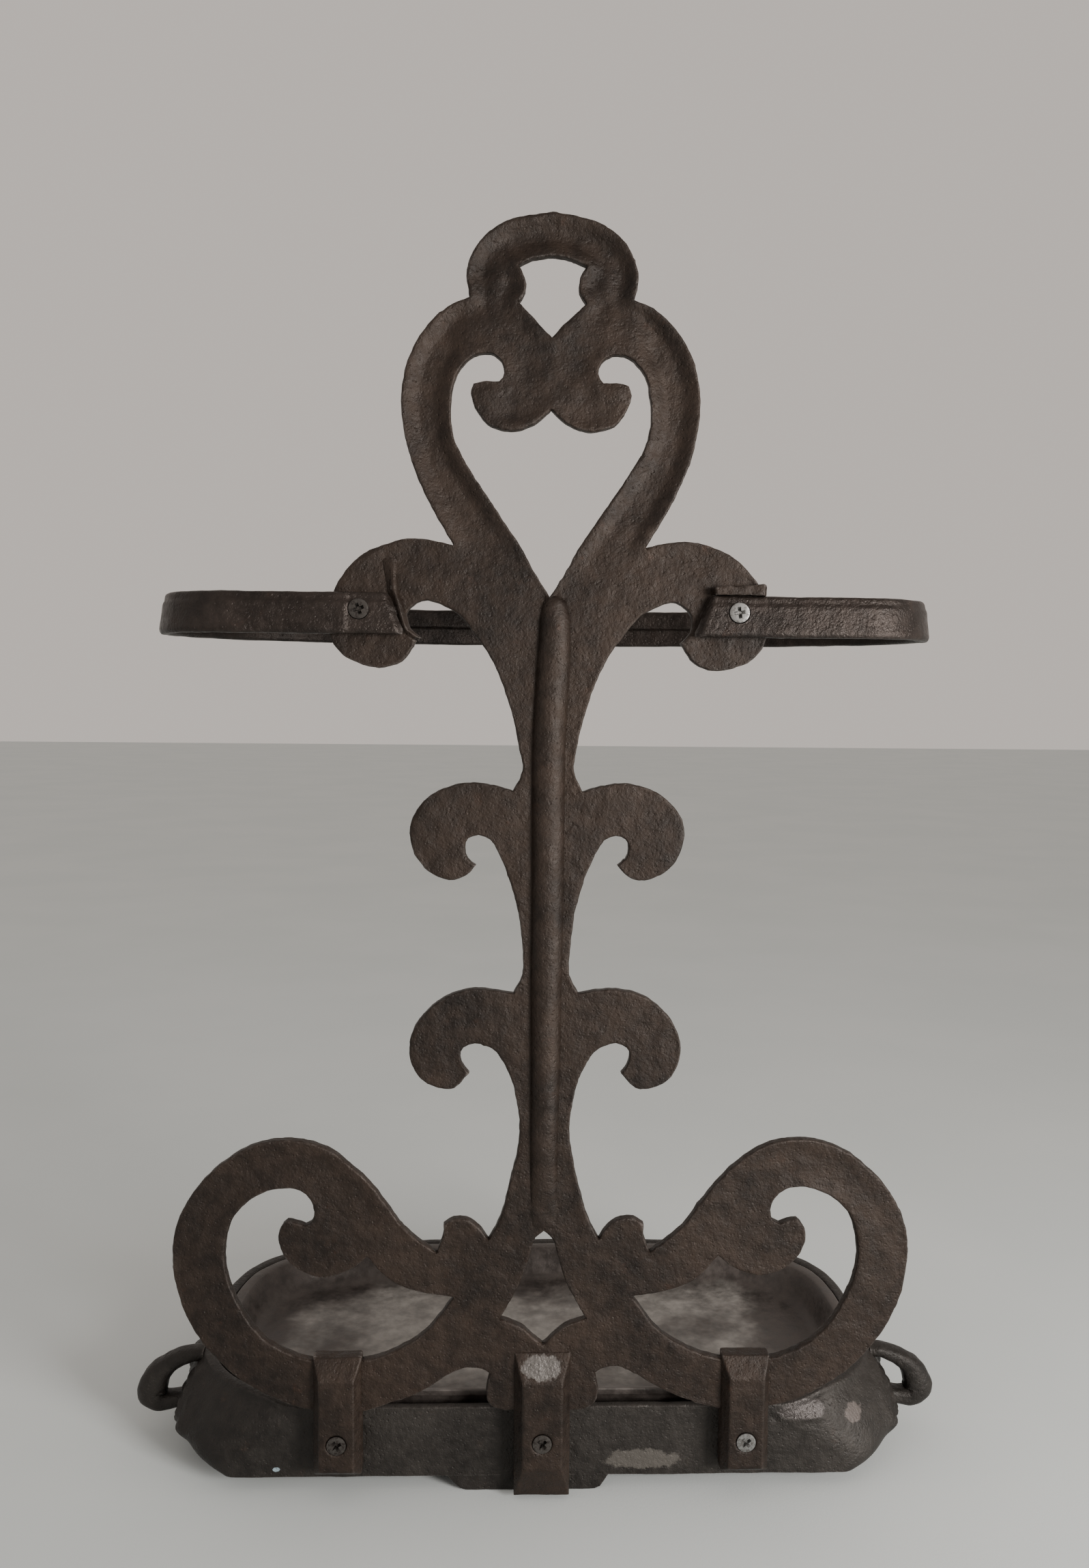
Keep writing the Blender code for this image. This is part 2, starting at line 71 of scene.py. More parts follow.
def section_loops(obj, y):
    """Closed outlines, in local mm, where the plane at that local y cuts a node."""
    bm = bmesh.new()
    bm.from_mesh(obj.data)
    bmesh.ops.remove_doubles(bm, verts=bm.verts, dist=1e-6)
    geometry = bm.verts[:] + bm.edges[:] + bm.faces[:]
    bmesh.ops.bisect_plane(bm, geom=geometry, dist=1e-7, plane_co=place(0, y, 0), plane_no=(0, 1, 0),
                           clear_inner=True, clear_outer=True)
    loops = []
    unused = set(bm.edges)
    while unused:
        edge = next(iter(sorted(unused, key=lambda e: e.index)))
        start, vert = edge.verts
        unused.discard(edge)
        loop = [start]
        while vert is not start:
            loop.append(vert)
            edge = next(e for e in vert.link_edges if e in unused)
            unused.discard(edge)
            vert = edge.other_vert(vert)
        loops.append([(v.co.x / MM, v.co.z / MM) for v in loop])
    bm.free()
    return loops


def drop_short(loop, least=0.8):
    """The loop without points that crowd the one before."""
    kept = [loop[0]]
    for point in loop[1:]:
        if math.dist(point, kept[-1]) > least:
            kept.append(point)
    if math.dist(kept[0], kept[-1]) < least:
        kept.pop()
    return kept


def turning(a, b, c):
    """How far, in degrees, the path a-b-c turns at b."""
    u = (b[0] - a[0], b[1] - a[1])
    v = (c[0] - b[0], c[1] - b[1])
    return abs(math.degrees(math.atan2(u[0] * v[1] - u[1] * v[0], u[0] * v[0] + u[1] * v[1])))


def refine(loop, step=1.2, corner=50.0):
    """A smooth, finely sampled loop that keeps its sharp corners."""
    n = len(loop)
    sharp = [turning(loop[i - 1], loop[i], loop[(i + 1) % n]) > corner for i in range(n)]
    result = []
    for i in range(n):
        b = Vector(loop[i])
        c = Vector(loop[(i + 1) % n])
        before = 2 * b - c if sharp[i] else Vector(loop[i - 1])
        after = 2 * c - b if sharp[(i + 1) % n] else Vector(loop[(i + 2) % n])
        gap = (c - b).length
        out = (c - before) * (gap / ((b - before).length + gap))
        into = (after - b) * (gap / ((after - c).length + gap))
        count = max(1, round(gap / step))
        for k in range(count):
            t = k / count
            point = (b * (2 * t ** 3 - 3 * t ** 2 + 1) + out * (t ** 3 - 2 * t ** 2 + t)
                     + c * (3 * t ** 2 - 2 * t ** 3) + into * (t ** 3 - t ** 2))
            result.append((point.x, point.y))
    return result


def area(loop):
    """Signed area of a loop."""
    return sum(a[0] * b[1] - b[0] * a[1] for a, b in zip(loop, loop[1:] + loop[:1])) / 2


def loop_normals(loop):
    """Unit directions into the material at each point; the outer loop runs anticlockwise, holes clockwise."""
    points = np.array(loop)
    along = np.roll(points, -1, 0) - np.roll(points, 1, 0)
    across = np.stack([-along[:, 1], along[:, 0]], 1)
    return across / np.maximum(np.linalg.norm(across, axis=1, keepdims=True), 1e-9)


def roughen(loop, amount=0.3):
    """The slightly uneven edge of a sand casting."""
    normals = loop_normals(loop)
    result = []
    for (x, z), (nx, nz) in zip(loop, normals):
        wave = noise.noise((x * 0.07, z * 0.07, 3.1)) * 1.2 + noise.noise((x * 0.31, z * 0.31, 9.7)) * 1.1
        nib = max(0.0, noise.noise((x * 0.45, z * 0.45, 21.0)) - 0.35) * 3.0
        result.append((x - nx * amount * (wave + nib), z - nz * amount * (wave + nib)))
    return result


def inside_mask(points, loops):
    """Even-odd test of many points against all the loops together."""
    x = points[:, 0]
    z = points[:, 1]
    result = np.zeros(len(points), bool)
    for loop in loops:
        ring = np.array(loop)
        ahead = np.roll(ring, -1, 0)
        low, high = ring[:, 1].min(), ring[:, 1].max()
        near = np.nonzero((z >= low) & (z <= high))[0]
        for (x0, z0), (x1, z1) in zip(ring, ahead):
            if z0 == z1:
                continue
            rows = near[(z[near] > min(z0, z1)) & (z[near] <= max(z0, z1))]
            cross = x[rows] < (x1 - x0) * (z[rows] - z0) / (z1 - z0) + x0
            result[rows[cross]] ^= True
    return result


def smooth(points, step):
    """A smooth open curve through points of any dimension, sampled about every step of its first two."""
    ring = [np.array(p, float) for p in points]
    ring = [2 * ring[0] - ring[1]] + ring + [2 * ring[-1] - ring[-2]]
    result = []
    for a, b, c, d in zip(ring, ring[1:], ring[2:], ring[3:]):
        before = max(np.linalg.norm((b - a)[:2]), 1e-6)
        gap = max(np.linalg.norm((c - b)[:2]), 1e-6)
        after = max(np.linalg.norm((d - c)[:2]), 1e-6)
        out = (c - a) * (gap / (before + gap))
        into = (d - b) * (gap / (gap + after))
        count = max(1, round(gap / step))
        for k in range(count):
            t = k / count
            result.append(b * (2 * t ** 3 - 3 * t ** 2 + 1) + out * (t ** 3 - 2 * t ** 2 + t)
                          + c * (3 * t ** 2 - 2 * t ** 3) + into * (t ** 3 - t ** 2))
    result.append(ring[-2])
    return result


# ---------------------------------------------------------------- temporary solids, in local millimetres

def solid(verts, faces):
    """A temporary closed solid."""
    mesh = bpy.data.meshes.new("solid")
    mesh.from_pydata([tuple(v) for v in verts], [], faces)
    bm = bmesh.new()
    bm.from_mesh(mesh)
    bmesh.ops.recalc_face_normals(bm, faces=bm.faces)
    bm.to_mesh(mesh)
    bm.free()
    obj = bpy.data.objects.new("solid", mesh)
    bpy.context.scene.collection.objects.link(obj)
    return obj


def apply(obj, kind, **settings):
    """Applies one modifier to a temporary solid."""
    modifier = obj.modifiers.new(kind, kind)
    for name, value in settings.items():
        setattr(modifier, name, value)
    bpy.context.view_layer.update()
    mesh = bpy.data.meshes.new_from_object(obj.evaluated_get(bpy.context.evaluated_depsgraph_get()))
    obj.modifiers.clear()
    obj.data = mesh
    return obj


def combined(obj, tool, operation):
    """One exact boolean; the tool is used up."""
    apply(obj, "BOOLEAN", operation=operation, solver="EXACT", object=tool)
    bpy.data.objects.remove(tool)
    return obj


def hull(points):
    """The convex solid around the points."""
    bm = bmesh.new()
    for point in points:
        bm.verts.new(point)
    bmesh.ops.convex_hull(bm, input=bm.verts)
    mesh = bpy.data.meshes.new("solid")
    bm.to_mesh(mesh)
    bm.free()
    obj = bpy.data.objects.new("solid", mesh)
    bpy.context.scene.collection.objects.link(obj)
    return obj


def loft(layers, ends=True):
    """A solid through layers of points; without ends the last layer joins the first."""
    count = len(layers[0])
    verts = [point for layer in layers for point in layer]
    faces = []
    last = len(layers) - 1 if ends else len(layers)
    for i in range(last):
        low = i * count
        high = (i + 1) % len(layers) * count
        faces += [(low + k, low + (k + 1) % count, high + (k + 1) % count, high + k) for k in range(count)]
    if ends:
        faces.append(tuple(range(count)))
        faces.append(tuple(range(len(verts) - count, len(verts))))
    return solid(verts, faces)


def turned(profile, x, z, sides=56):
    """A solid turned about an axis along Y; the profile runs as (y, radius), on the axis at both ends."""
    verts = [(x, profile[0][0], z)]
    for y, radius in profile[1:-1]:
        angles = [2 * math.pi * k / sides for k in range(sides)]
        verts += [(x + radius * math.cos(a), y, z + radius * math.sin(a)) for a in angles]
    verts.append((x, profile[-1][0], z))
    faces = []
    for k in range(sides):
        n = (k + 1) % sides
        faces.append((0, 1 + n, 1 + k))
        for i in range(len(profile) - 3):
            low = 1 + i * sides
            faces.append((low + k, low + n, low + sides + n, low + sides + k))
        top = 1 + (len(profile) - 3) * sides
        faces.append((top + k, top + n, len(verts) - 1))
    return solid(verts, faces)


def lumps(x, y, z, size, seed):
    """Smooth noise about -1 to 1 with lumps of about the given size."""
    return noise.noise((x / size + seed, y / size - seed, z / size + 2.7 * seed))


def sand_cast(obj, coarse=0.3, fine=0.12, seed=1.0):
    """Gives a finely divided solid the uneven skin of a sand casting."""
    mesh = obj.data
    count = len(mesh.vertices)
    points = np.empty(count * 3)
    normals = np.empty(count * 3)
    mesh.vertices.foreach_get("co", points)
    mesh.vertex_normals.foreach_get("vector", normals)
    points = points.reshape(-1, 3)
    normals = normals.reshape(-1, 3)
    lift = np.array([coarse * lumps(*p, 14.0, seed) + fine * lumps(*p, 4.0, seed + 5) for p in points])
    mesh.vertices.foreach_set("co", (points + normals * lift[:, None]).ravel())
    return obj


def cast_block(obj, voxel=0.5, seed=1.0, coarse=0.3, fine=0.12):
    """Rounds a sharp solid over like a casting and gives it a cast skin."""
    apply(obj, "REMESH", mode="VOXEL", voxel_size=voxel)
    apply(obj, "SMOOTH", factor=0.5, iterations=3)
    return sand_cast(obj, coarse, fine, seed)


def piece(name, solids, body, nodes, material, sharp=48.0):
    """Joins temporary solids into one finished piece that stands for CAD nodes."""
    bm = bmesh.new()
    for obj in solids:
        bm.from_mesh(obj.data)
        bpy.data.objects.remove(obj)
    for vert in bm.verts:
        vert.co = place(*vert.co)
    mesh = bpy.data.meshes.new(name)
    bm.to_mesh(mesh)
    bm.free()
    mesh.materials.clear()
    mesh.materials.append(material)
    mesh.polygons.foreach_set("material_index", [0] * len(mesh.polygons))
    mesh.shade_smooth()
    mesh.set_sharp_from_angle(angle=math.radians(sharp))
    obj = bpy.data.objects.new(name, mesh)
    bpy.context.scene.collection.objects.link(obj)
    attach(obj, body)
    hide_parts(*nodes)
    return obj


# ---------------------------------------------------------------- the back frame

EDGE = 0.8                      # rounding of the back's edges
# height, half width and proud height of the rib down the stem
RIB = [(447, 2.5, 0.4), (446, 4.4, 2.0), (443, 6.0, 3.8), (436, 7.2, 4.8), (415, 8.0, 5.4), (330, 7.8, 5.4),
       (240, 7.4, 5.2), (190, 6.8, 4.6), (172, 6.6, 3.4), (158, 6.4, 2.0), (148, 6.0, 1.0), (140, 5.0, 0.3)]
RIB_STEPS = (0.0, 0.3, 0.55, 0.75, 0.88, 0.96, 1.0, 1.12)


def rib_size(z):
    """Half width and proud height of the rib at a height."""
    heights = [row[0] for row in reversed(RIB)]
    half = np.interp(z, heights, [row[1] for row in reversed(RIB)], left=0, right=0)
    proud = np.interp(z, heights, [row[2] for row in reversed(RIB)], left=0, right=0)
    return half, proud


def rib_middle(z):
    """The rib wanders about the stem's centre line and leans right near its top."""
    return 0.7 * noise.noise((0.5, z * 0.012, 4.0)) + 2.6 * float(smoothstep(370, 440, z))


def rib_lift(x, z):
    """How far the rib stands out of the back at a point."""
    half, proud = rib_size(z)
    if half <= 0:
        return 0.0
    u = abs(x - rib_middle(z)) / half
    return float(proud * (1 - u ** 2.4) ** 0.72) if u < 1 else 0.0


def hollow(x, z):
    """Depth of the hollow back at a point: deep in the heart and the handle, slight in the big scrolls."""
    side = abs(x)
    lobes = float(smoothstep(-50, -38, -side) * smoothstep(500, 522, z) * smoothstep(-586, -570, -z))
    leg = float(smoothstep(446, 500, z))
    scroll = float(smoothstep(128, 160, z) * smoothstep(66, 90, side) * smoothstep(-200, -190, -z))
    return 2.9 * leg * (1 - 0.8 * lobes) + 0.7 * scroll


def dimples(x, z):
    """Shallow dents and low swellings where the hollows die out in the curls and the handle's feet."""
    depth = 0.0
    for cx, cz, wide, tall, deep in ((30, 543, 9, 14, -1.2), (21, 531, 16, 7, 0.9), (26, 591, 6, 11, -1.4),
                                     (33, 600, 6, 10, 1.0), (12, 556, 10, 9, 0.8), (46, 577, 10, 7, 0.9)):
        for side in (-1, 1):
            u = (x - side * cx) / wide
            v = (z - cz) / tall
            depth += deep * math.exp(-u * u - v * v)
    return depth


def back_face(x, z, d):
    """y of the back face at a distance d from the nearest edge of the casting."""
    y = EDGE - math.sqrt(EDGE ** 2 - (EDGE - d) ** 2) if d < EDGE else 0.0
    y += hollow(x, z) * float(smoothstep(0.8, 8.8, d))
    flat = float(smoothstep(0.2, 2.2, d))
    y += flat * (0.5 * lumps(x, 0, z, 26.0, 1.3) + 0.34 * lumps(x, 0, z, 9.0, 6.1)
                 + 0.16 * lumps(x, 0, z, 4.2, 2.2) + 0.10 * lumps(x, 0, z, 2.4, 5.7))
    if z > 500:
        y += float(smoothstep(0.5, 6.0, d)) * dimples(x, z)
    return y - rib_lift(x, z)


def front_face(x, z, d):
    """y of the front face, bowed like the front of a scroll."""
    bow = math.sqrt(max(0.0, 1 - (1 - min(d / 8.0, 1.0)) ** 2))
    return 4.6 + 3.2 * bow + 0.12 * lumps(x, 5, z, 9.0, 3.3) * bow


def frame_plate(loops):
    """The scroll back: a plate through finely sampled outlines, with relief on both faces."""
    points = []
    edges = []
    rings = []
    for loop in loops:
        start = len(points)
        rings.append(list(range(start, start + len(loop))))
        points += loop
        edges += [(start + i, start + (i + 1) % len(loop)) for i in range(len(loop))]
    count = len(points)
    rim = KDTree(count * 4)
    index = 0
    for loop in loops:
        for (x0, z0), (x1, z1) in zip(loop, loop[1:] + loop[:1]):
            for k in range(4):
                rim.insert((x0 + (x1 - x0) * k / 4, z0 + (z1 - z0) * k / 4, 0), index)
                index += 1
    rim.balance()
    extra = []
    for loop in loops:
        for (x, z), (nx, nz) in zip(loop, loop_normals(loop)):
            for inset in (0.35, 0.8, 1.4):
                extra.append((x + nx * inset, z + nz * inset, inset * 0.9))
    z = RIB[-1][0] + 0.5
    while z < RIB[0][0]:
        half, _ = rib_size(z)
        for step in RIB_STEPS:
            for side in (-1, 1):
                extra.append((rib_middle(z) + side * half * step, z, 2.0))
        z += 1.5
    outer = np.array(loops[0])
    pitch = 1.6
    row = 0
    z = outer[:, 1].min()
    while z < outer[:, 1].max():
        x = outer[:, 0].min() + (row % 2) * pitch / 2
        half, _ = rib_size(z)
        while x < outer[:, 0].max():
            if half == 0 or abs(x - rib_middle(z)) > half * 1.12 + 0.8:
                extra.append((x, z, 2.0))
            x += pitch
        row += 1
        z += pitch * 0.866
    extra = np.array(extra)
    extra = extra[inside_mask(extra[:, :2], loops)]
    kept = [(x, z) for x, z, least in extra if rim.find((x, z, 0))[2] >= least]
    flat, _, triangles, source, _, _ = delaunay_2d_cdt([Vector(p) for p in points + kept], edges, [], 0, 1e-4)
    flat = np.array([tuple(p) for p in flat])
    triangles = np.array([tuple(t) for t in triangles])
    triangles = triangles[inside_mask(flat[triangles].mean(1), loops)]
    used = np.unique(triangles)
    number = {int(v): i for i, v in enumerate(used)}
    where = {}
    for new, old in enumerate(source):
        for original in old:
            where[original] = new
    ring_of = [[where[i] for i in ring] for ring in rings]
    edge_points = {v for ring in ring_of for v in ring}
    distance = [0.0 if v in edge_points else rim.find((flat[v][0], flat[v][1], 0))[2] for v in used]
    back = [(flat[v][0], back_face(flat[v][0], flat[v][1], d), flat[v][1]) for v, d in zip(used, distance)]
    front = [(flat[v][0], front_face(flat[v][0], flat[v][1], d), flat[v][1]) for v, d in zip(used, distance)]
    verts = back + front
    size = len(used)
    faces = []
    for a, b, c in triangles:
        faces.append((number[a], number[b], number[c]))
        faces.append((size + number[c], size + number[b], size + number[a]))
    for ring in ring_of:
        layers = [[number[v] for v in ring]]
        for share in (0.3, 0.65):
            start = len(verts)
            for v in ring:
                x, y0, z = back[number[v]]
                y1 = front[number[v]][1]
                verts.append((x + 0.12 * lumps(x, 9 * share, z, 2.5, 8.0), y0 + (y1 - y0) * share, z))
            layers.append(list(range(start, len(verts))))
        layers.append([size + number[v] for v in ring])
        for low, high in zip(layers, layers[1:]):
            for i in range(len(ring)):
                j = (i + 1) % len(ring)
                faces.append((low[i], low[j], high[j], high[i]))
    return solid(verts, faces)


LUG_SCREW_X = 101.0
LUG_SCREW_Z = 32.6
LUG_FACE = -6.0
HEAD_RADIUS = 4.8


def countersink(x, z, face, through):
    """The cutter for a countersunk screw's hole."""
    rim = HEAD_RADIUS + 0.35
    return turned([(face - 3, 0), (face - 3, rim), (face + 0.5, rim), (face + 3.0, 2.8), (through, 2.8),
                   (through, 0)], x, z)


def lug(x, half, face_half, top, face_top, face_bottom, bottom, seed):
    """A cast lug down to the base, with chamfered sides, sloping ends and a countersunk hole."""
    corners = []
    for y, w, low, high in ((PLATE - 0.3, half, bottom, top), (-0.5, half, bottom, top),
                            (LUG_FACE, face_half, face_bottom, face_top)):
        for side in (-1, 1):
            corners += [(x + side * w, y, low), (x + side * w, y, high)]
    obj = combined(hull(corners), countersink(x, LUG_SCREW_Z, LUG_FACE, PLATE + 5), "DIFFERENCE")
    return cast_block(obj, 0.55, seed)


def seat_block():
    """The ledge over the ring's right end."""
    low = RING_TOP + 0.3
    corners = [(x, y, z) for x, top in ((78, 452.3), (101.5, 453.6)) for y in (-5.8, 3) for z in (low, top)]
    corners += [(75.5, 3, low), (75.5, 3, 452.0), (103.0, -1.5, low), (103.0, -1.5, 452.5)]
    return cast_block(hull(corners), 0.6, 4.0, 0.6, 0.45)


def disc_ridge():
    """The crooked ridge on the left disc, beside the ring's end."""
    spine = smooth([(-74.6, 464, 0.4), (-74.2, 458, 1.5), (-73.6, 450, 2.8), (-71.8, 444, 3.3),
                    (-70, 437, 3.2), (-68.2, 431.5, 2.4), (-65, 428.5, 1.4), (-62.8, 426.8, 0.4)], 0.8)
    layers = []
    for x, z, proud in spine:
        layers.append([(x - 3.6, 2.5, z), (x - 4.2, 0.5, z), (x - 2.0, -0.35 * proud, z),
                       (x - 0.6, -0.85 * proud, z), (x + 0.5, -proud, z), (x + 1.6, -0.6 * proud, z),
                       (x + 2.6, 0.5, z), (x + 2.6, 2.5, z)])
    return cast_block(loft(layers), 0.4, 7.0, 0.3, 0.2)


def back_frame(material):
    """The scroll back with its rib, three lugs and the seats of the ring."""
    loops = [drop_short(loop) for loop in section_loops(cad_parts["back_frame"], 4.0)]
    loops = [loop for loop in loops if abs(area(loop)) > 80]
    loops.sort(key=lambda loop: -abs(area(loop)))
    oriented = []
    for index, loop in enumerate(loops):
        fine = refine(loop)
        if (area(fine) > 0) != (index == 0):
            fine.reverse()
        oriented.append(roughen(fine))
    solids = [frame_plate(oriented),
              lug(-LUG_SCREW_X, 11.8, 8.5, 74.5, 65, 19, 15, 1.0),
              lug(LUG_SCREW_X, 11.8, 8.5, 74.5, 65, 19, 15, 2.0),
              lug(0, 13.8, 9.7, 76.5, 63, 19, 3, 3.0),
              seat_block(), disc_ridge()]
    return piece("scroll_back", solids, "stand", ["back_frame"], material)


# ---------------------------------------------------------------- the ring

RING_TOP = 447.9
RING_LINE = -3.3
RING_SCREW = (89.5, 440.0)
RING_FACE = -6.6
# the bar's section: outward from the ring's line, and up from its top
RING_SECTION = [(-3, -1), (-2, 0), (1.0, 0), (1.8, -1), (2.2, -3.7), (3.0, -4.6), (4.6, -17.5), (3.8, -19.5),
                (0.5, -19.5), (-0.5, -18.5), (-0.5, -10.5), (-3, -9.5)]


def softened(points, step, passes):
    """A closed outline cut into short lengths, with its corners rounded off."""
    ring = []
    for a, b in zip(points, points[1:] + points[:1]):
        count = max(1, round(math.dist(a, b) / step))
        ring += [tuple(a[i] + (b[i] - a[i]) * k / count for i in (0, 1)) for k in range(count)]
    ring = np.array(ring)
    for _ in range(passes):
        ring = (np.roll(ring, 1, 0) + 2 * ring + np.roll(ring, -1, 0)) / 4
    return [tuple(p) for p in ring]


def ring_stations():
    """Plan points and outward directions round the ring, from the left end to the right."""
    straight = 150.0
    bend = 36.3
    far = 128.0
    wide = straight + bend
    deep = far - RING_LINE - bend
    half = [((x, RING_LINE), (0.0, -1.0)) for x in np.arange(80.0, straight, 0.8)]
    for k in range(31):
        a = math.pi / 2 * k / 30
        spot = (straight + bend * math.sin(a), RING_LINE + bend - bend * math.cos(a))
        half.append((spot, (math.sin(a), -math.cos(a))))
    for k in range(1, 91):
        a = math.pi / 2 * k / 90
        normal = Vector((math.cos(a) / wide, math.sin(a) / deep)).normalized()
        half.append(((wide * math.cos(a), RING_LINE + bend + deep * math.sin(a)), tuple(normal)))
    left = [((-p[0], p[1]), (-n[0], n[1])) for p, n in half]
    return left + list(reversed(half[:-1]))


def umbrella_ring(material):
    """The moulded hoop, its slanting ends lapped over the arm discs."""
    section = softened(RING_SECTION, 0.7, 2)
    layers = []
    stations = ring_stations()
    for spot, normal in stations:
        layer = []
        for u, v in section:
            x = spot[0] + u * normal[0]
            y = spot[1] + u * normal[1]
            if abs(spot[0]) < 96 and spot[1] < 0:
                end = 79.5 + 0.46 * v - 0.55 * (3.2 - u)
                share = (abs(spot[0]) - 80) / 16
                x = math.copysign(end + (96 - end) * share, spot[0])
                if spot[0] < 0 and u > 0:
                    y += 0.9 * float(smoothstep(0.0, 0.5, 95.2 - abs(x))) * min(1.0, u / 2)
            layer.append((x, y, RING_TOP + v))
        layers.append(layer)
    for end in (0, -1):
        middle = np.mean(layers[end], axis=0)
        tip = [tuple(middle + (np.array(p) - middle) * 0.86) for p in layers[end]]
        push = np.sign(layers[end][0][0]) * 0.7
        tip = [(x - push, y, z) for x, y, z in tip]
        layers.insert(0, tip) if end == 0 else layers.append(tip)
    bar = loft(layers)
    for side in (-1, 1):
        combined(bar, countersink(side * RING_SCREW[0], RING_SCREW[1], RING_FACE, 4), "DIFFERENCE")
    sand_cast(bar, 0.28, 0.12, 12.0)
    return piece("ring", [bar], "stand", ["umbrella_ring"], material)


# ---------------------------------------------------------------- the base and the tray

WALL_BACK = PLATE + 0.3
WALL_FRONT = WALL_BACK + 4.5
WALL_TOP = 44.0
RIM_TOP = 48.0
RIM_HALF_WIDTH = 183.0
BASE_MIDDLE = 82.0
BASE_ROUND = 114.0
SQUARENESS = 4.0
# height, how far the side stands out from the rim, and the radius of the rear corners
BASE_SIDE = [(8, -20, 10), (11, -9.5, 20), (15, -1, 30), (20, 4.4, 40), (26, 6, 49), (33, 5.5, 57),
             (40, 3.5, 65), (44, 1.5, 70)]
# centre line of a handle as x and z, and its half thickness
BAIL = [(182.5, 22.4, 3.4), (192.5, 20.2, 4.2), (199, 18.6, 4.6), (205, 18.8, 5.8), (208.6, 22.6, 7.8),
        (207.6, 28, 7.4), (204.8, 33.6, 6.2), (199.5, 38.6, 4.6), (193, 42.3, 3.9), (187, 44.4, 3.6),
        (180.5, 44.4, 3.4)]
BAIL_Y = 62.0
BAIL_HALF_WIDTH = 6.5


def plan(inset, back, corner):
    """A plan outline: a flat back, rounded rear corners, straight sides and a bowed front."""
    wide = RIM_HALF_WIDTH + inset
    deep = BASE_ROUND + inset
    power = 2 / SQUARENESS
    half = [((wide - corner) * k / 64, back) for k in range(64)]
    for k in range(24):
        a = math.pi / 2 * k / 24
        half.append((wide - corner * (1 - math.sin(a)), back + corner * (1 - math.cos(a))))
    for k in range(6):
        half.append((wide, back + corner + (BASE_MIDDLE - back - corner) * k / 6))
    for k in range(73):
        a = math.pi / 2 * float(smoothstep(0, 1, k / 72))
        across = wide * math.cos(a) ** power if k < 72 else 0.0
        half.append((across, BASE_MIDDLE + deep * math.sin(a) ** power))
    return half + [(-x, y) for x, y in reversed(half[1:-1])]


def outward(outline):
    """Unit directions out of a plan outline."""
    ring = np.array(outline)
    along = np.roll(ring, -1, 0) - np.roll(ring, 1, 0)
    across = np.stack([along[:, 1], -along[:, 0]], 1)
    return across / np.maximum(np.linalg.norm(across, axis=1, keepdims=True), 1e-9)


def leaf(x, y, z):
    """Height of the worn leaf whose ribs run up the end on both sides of a handle."""
    if abs(x) < 150:
        return 0.0
    height = 0.0
    for offset, reach, top, width in ((13, 3.2, 44, 2.4), (20, 3.8, 42, 2.8), (28, 3.0, 37, 3.2),
                                      (-13, 3.2, 44, 2.4), (-20, 3.8, 42, 2.8), (-28, 3.0, 37, 3.2),
                                      (0, 1.2, 30, 6.0)):
        middle = BAIL_Y + offset * (1.25 - 0.011 * z)
        along = float(smoothstep(12, 20, z) * smoothstep(-top - 6, -top + 1, -z))
        height += reach * math.exp(-((y - middle) / width) ** 2) * along
    low = math.exp(-((y - BAIL_Y + 26) / 10) ** 2) + math.exp(-((y - BAIL_Y - 26) / 10) ** 2)
    height += 1.8 * low * math.exp(-((z - 19) / 7.0) ** 2)
    return height


def base_rows():
    """Rows of the base's surface, underside to rim to floor: height, inset, corner, back."""
    rows = [(8.5, -100, 4, WALL_BACK + 40), (8.4, -50, 4, WALL_BACK + 14), (8.1, -24, 8, WALL_BACK + 2),
            (8.0, -21, 10, WALL_BACK + 0.4)]
    rows += [(z, inset, corner, WALL_BACK) for z, inset, corner in smooth(BASE_SIDE, 1.3)]
    rim = [(45.5, 0.9, 70.5), (46.8, 0.4, 70.8), (47.5, -0.1, 71), (47.9, -0.8, 70.6), (48, -1.7, 70),
           (48, -3.8, 68), (47.8, -4.6, 67.4), (47.3, -5.2, 66.6), (46.4, -5.5, 66), (44.9, -5.6, 66),
           (44.4, -6.2, 65.5), (44.4, -9.0, 63), (43.9, -9.8, 62)]
    for z, inset, corner in rim:
        share = min(1.0, max(0.0, -inset / 5.4))
        rows.append((z, inset, corner, WALL_BACK + 4.5 * share))
    for z, inset, corner in reversed(smooth(BASE_SIDE[2:7], 2.4)):
        rows.append((z, inset - 6, corner - 5, WALL_FRONT))
    rows += [(13.8, -13.5, 18, WALL_FRONT + 0.4), (13.1, -17, 15, WALL_FRONT + 2.5),
             (13, -30, 10, WALL_FRONT + 12), (13, -100, 4, WALL_BACK + 40)]
    return rows


def base_shell():
    """The hollow body of the base, with its low rear wall and the leaves on its ends."""
    layers = []
    for index, (height, inset, corner, back) in enumerate(base_rows()):
        outline = plan(inset, back, corner)
        layer = []
        outside = 4 <= index and height < 44.1 and back == WALL_BACK
        for (x, y), (nx, ny) in zip(outline, outward(outline)):
            low = smoothstep(34, 43.5, height) * smoothstep(-147, -124, -abs(x)) * smoothstep(-30, -22, -y)
            z = height - (RIM_TOP - WALL_TOP) * float(low)
            lift = 0.0
            if outside:
                lift = leaf(x, y, height)
                worn = smoothstep(112, 122, x) * smoothstep(-152, -140, -x) * smoothstep(27, 38, height)
                lift += float(worn * smoothstep(-24, -14, -y)) * 1.5 * lumps(x, y, z, 3.6, 9.4)
            layer.append((x + nx * lift, y + ny * lift, z))
        layers.append(layer)
    return sand_cast(loft(layers), 0.35, 0.1, 21.0)


